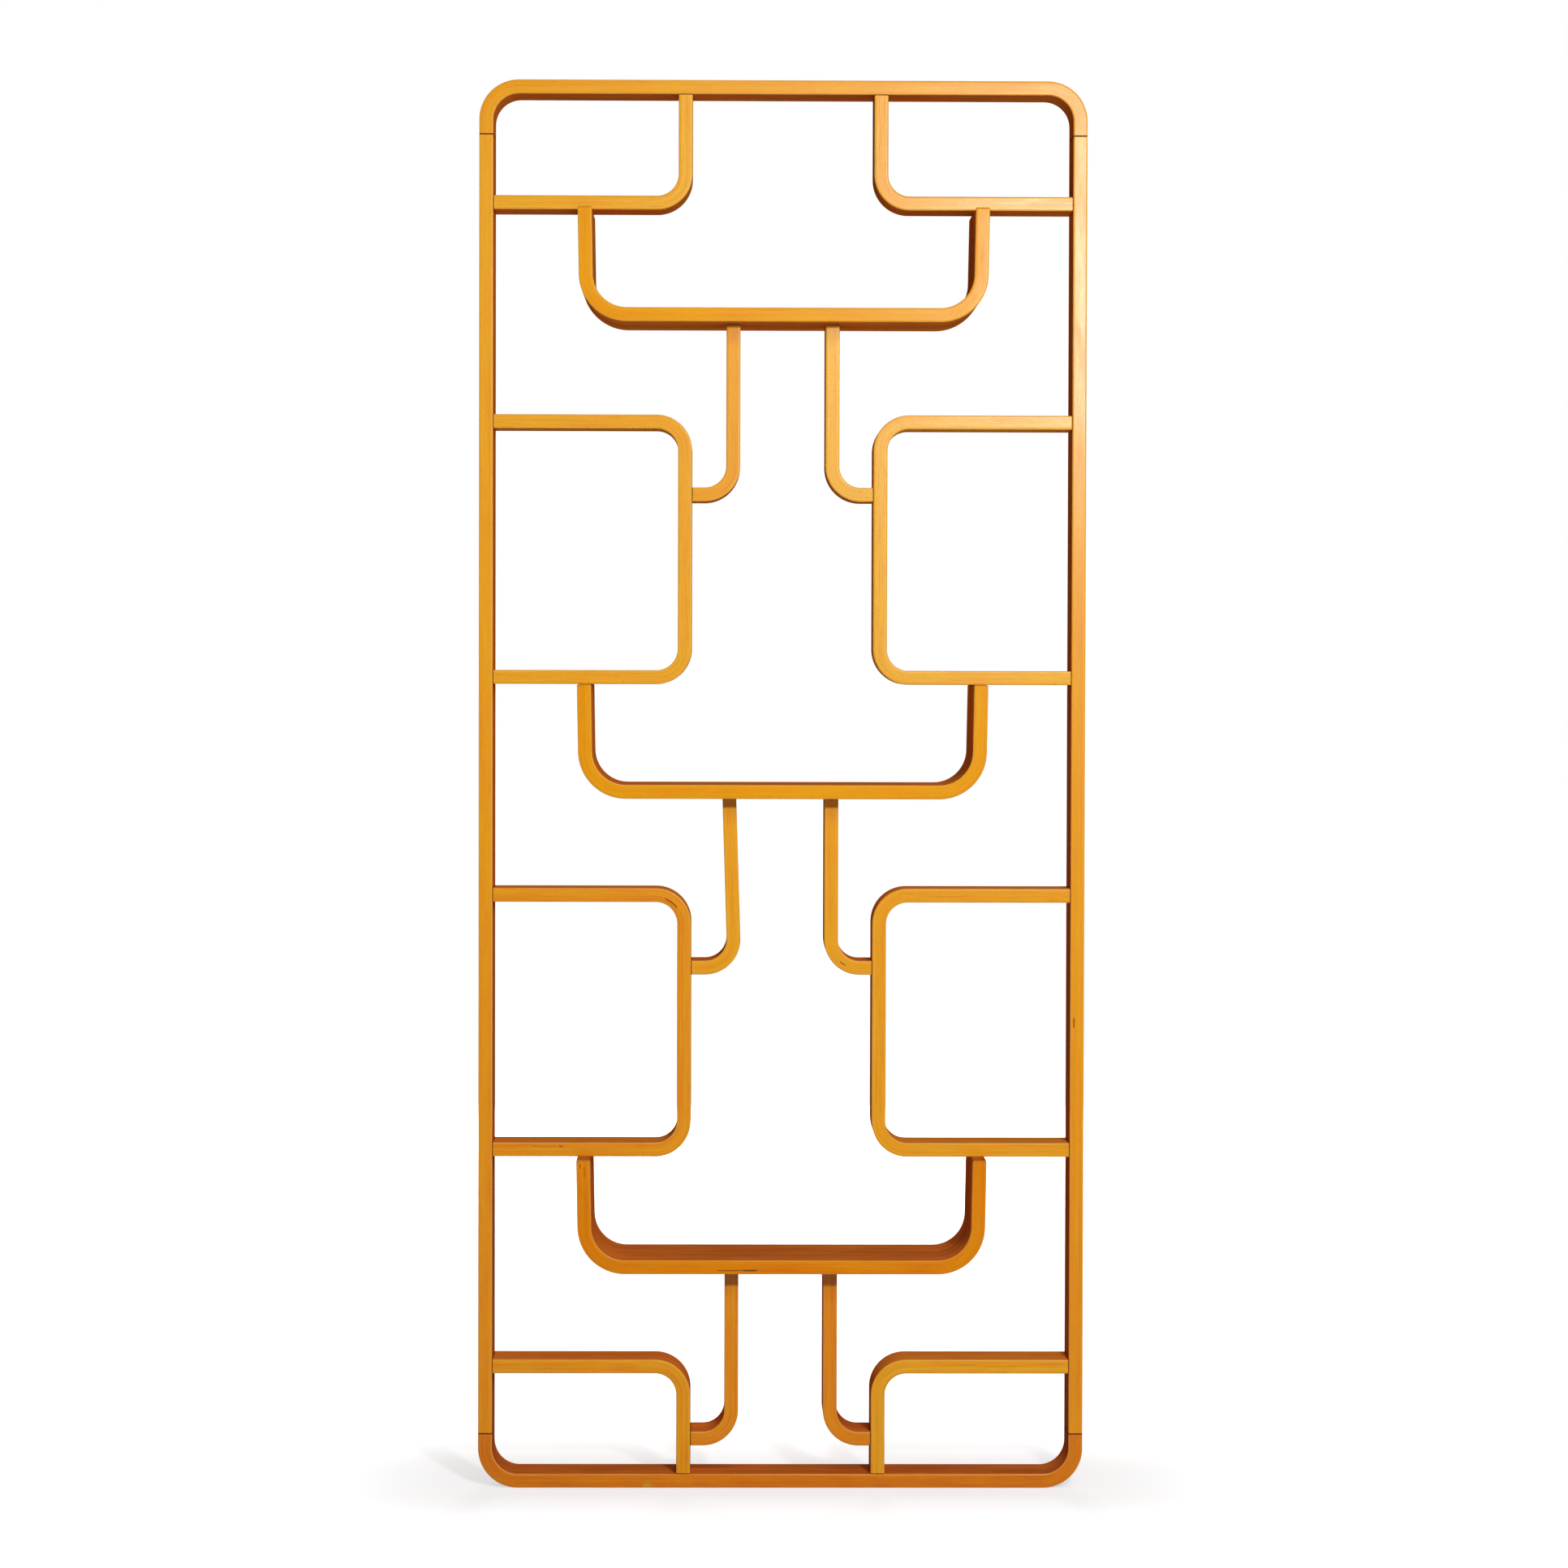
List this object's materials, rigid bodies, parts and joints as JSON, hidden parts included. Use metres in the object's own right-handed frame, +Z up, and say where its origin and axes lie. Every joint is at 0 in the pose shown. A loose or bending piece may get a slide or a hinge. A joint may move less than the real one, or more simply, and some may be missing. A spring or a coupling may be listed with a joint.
{
  "type": "room divider",
  "caption": "Free-standing open shelf screen of bent plywood: a tall round-cornered frame holding brackets, C-shaped shelves, hung trays and hooks.",
  "frame": {"origin": "on the floor, under the middle of the divider", "axes": "+Z up, +X along the width to the right as pictured, +Y to the rear"},
  "size_m": [0.87, 0.195, 2.02],
  "materials": {
    "bent_plywood": "satin varnish",
    "dowel_wood": "bare"
  },
  "bodies": {
    "root": {"top_rail": "bent_plywood", "bottom_rail": "bent_plywood", "left_stile": "bent_plywood", "right_stile": "bent_plywood", "upper_left_bracket": "bent_plywood", "upper_right_bracket": "bent_plywood", "lower_left_bracket": "bent_plywood", "lower_right_bracket": "bent_plywood", "upper_left_shelf": "bent_plywood", "upper_right_shelf": "bent_plywood", "lower_left_shelf": "bent_plywood", "lower_right_shelf": "bent_plywood", "upper_tray": "bent_plywood", "middle_tray": "bent_plywood", "lower_tray": "bent_plywood", "upper_left_hook": "bent_plywood", "upper_right_hook": "bent_plywood", "middle_left_hook": "bent_plywood", "middle_right_hook": "bent_plywood", "lower_left_hook": "bent_plywood", "lower_right_hook": "bent_plywood", "frame_joint_dowels": "dowel_wood", "stile_joint_dowels": "dowel_wood", "rail_joint_dowels": "dowel_wood", "tray_end_dowels": "dowel_wood", "hook_top_dowels": "dowel_wood", "hook_side_dowels": "dowel_wood"}
  },
  "joints": []
}
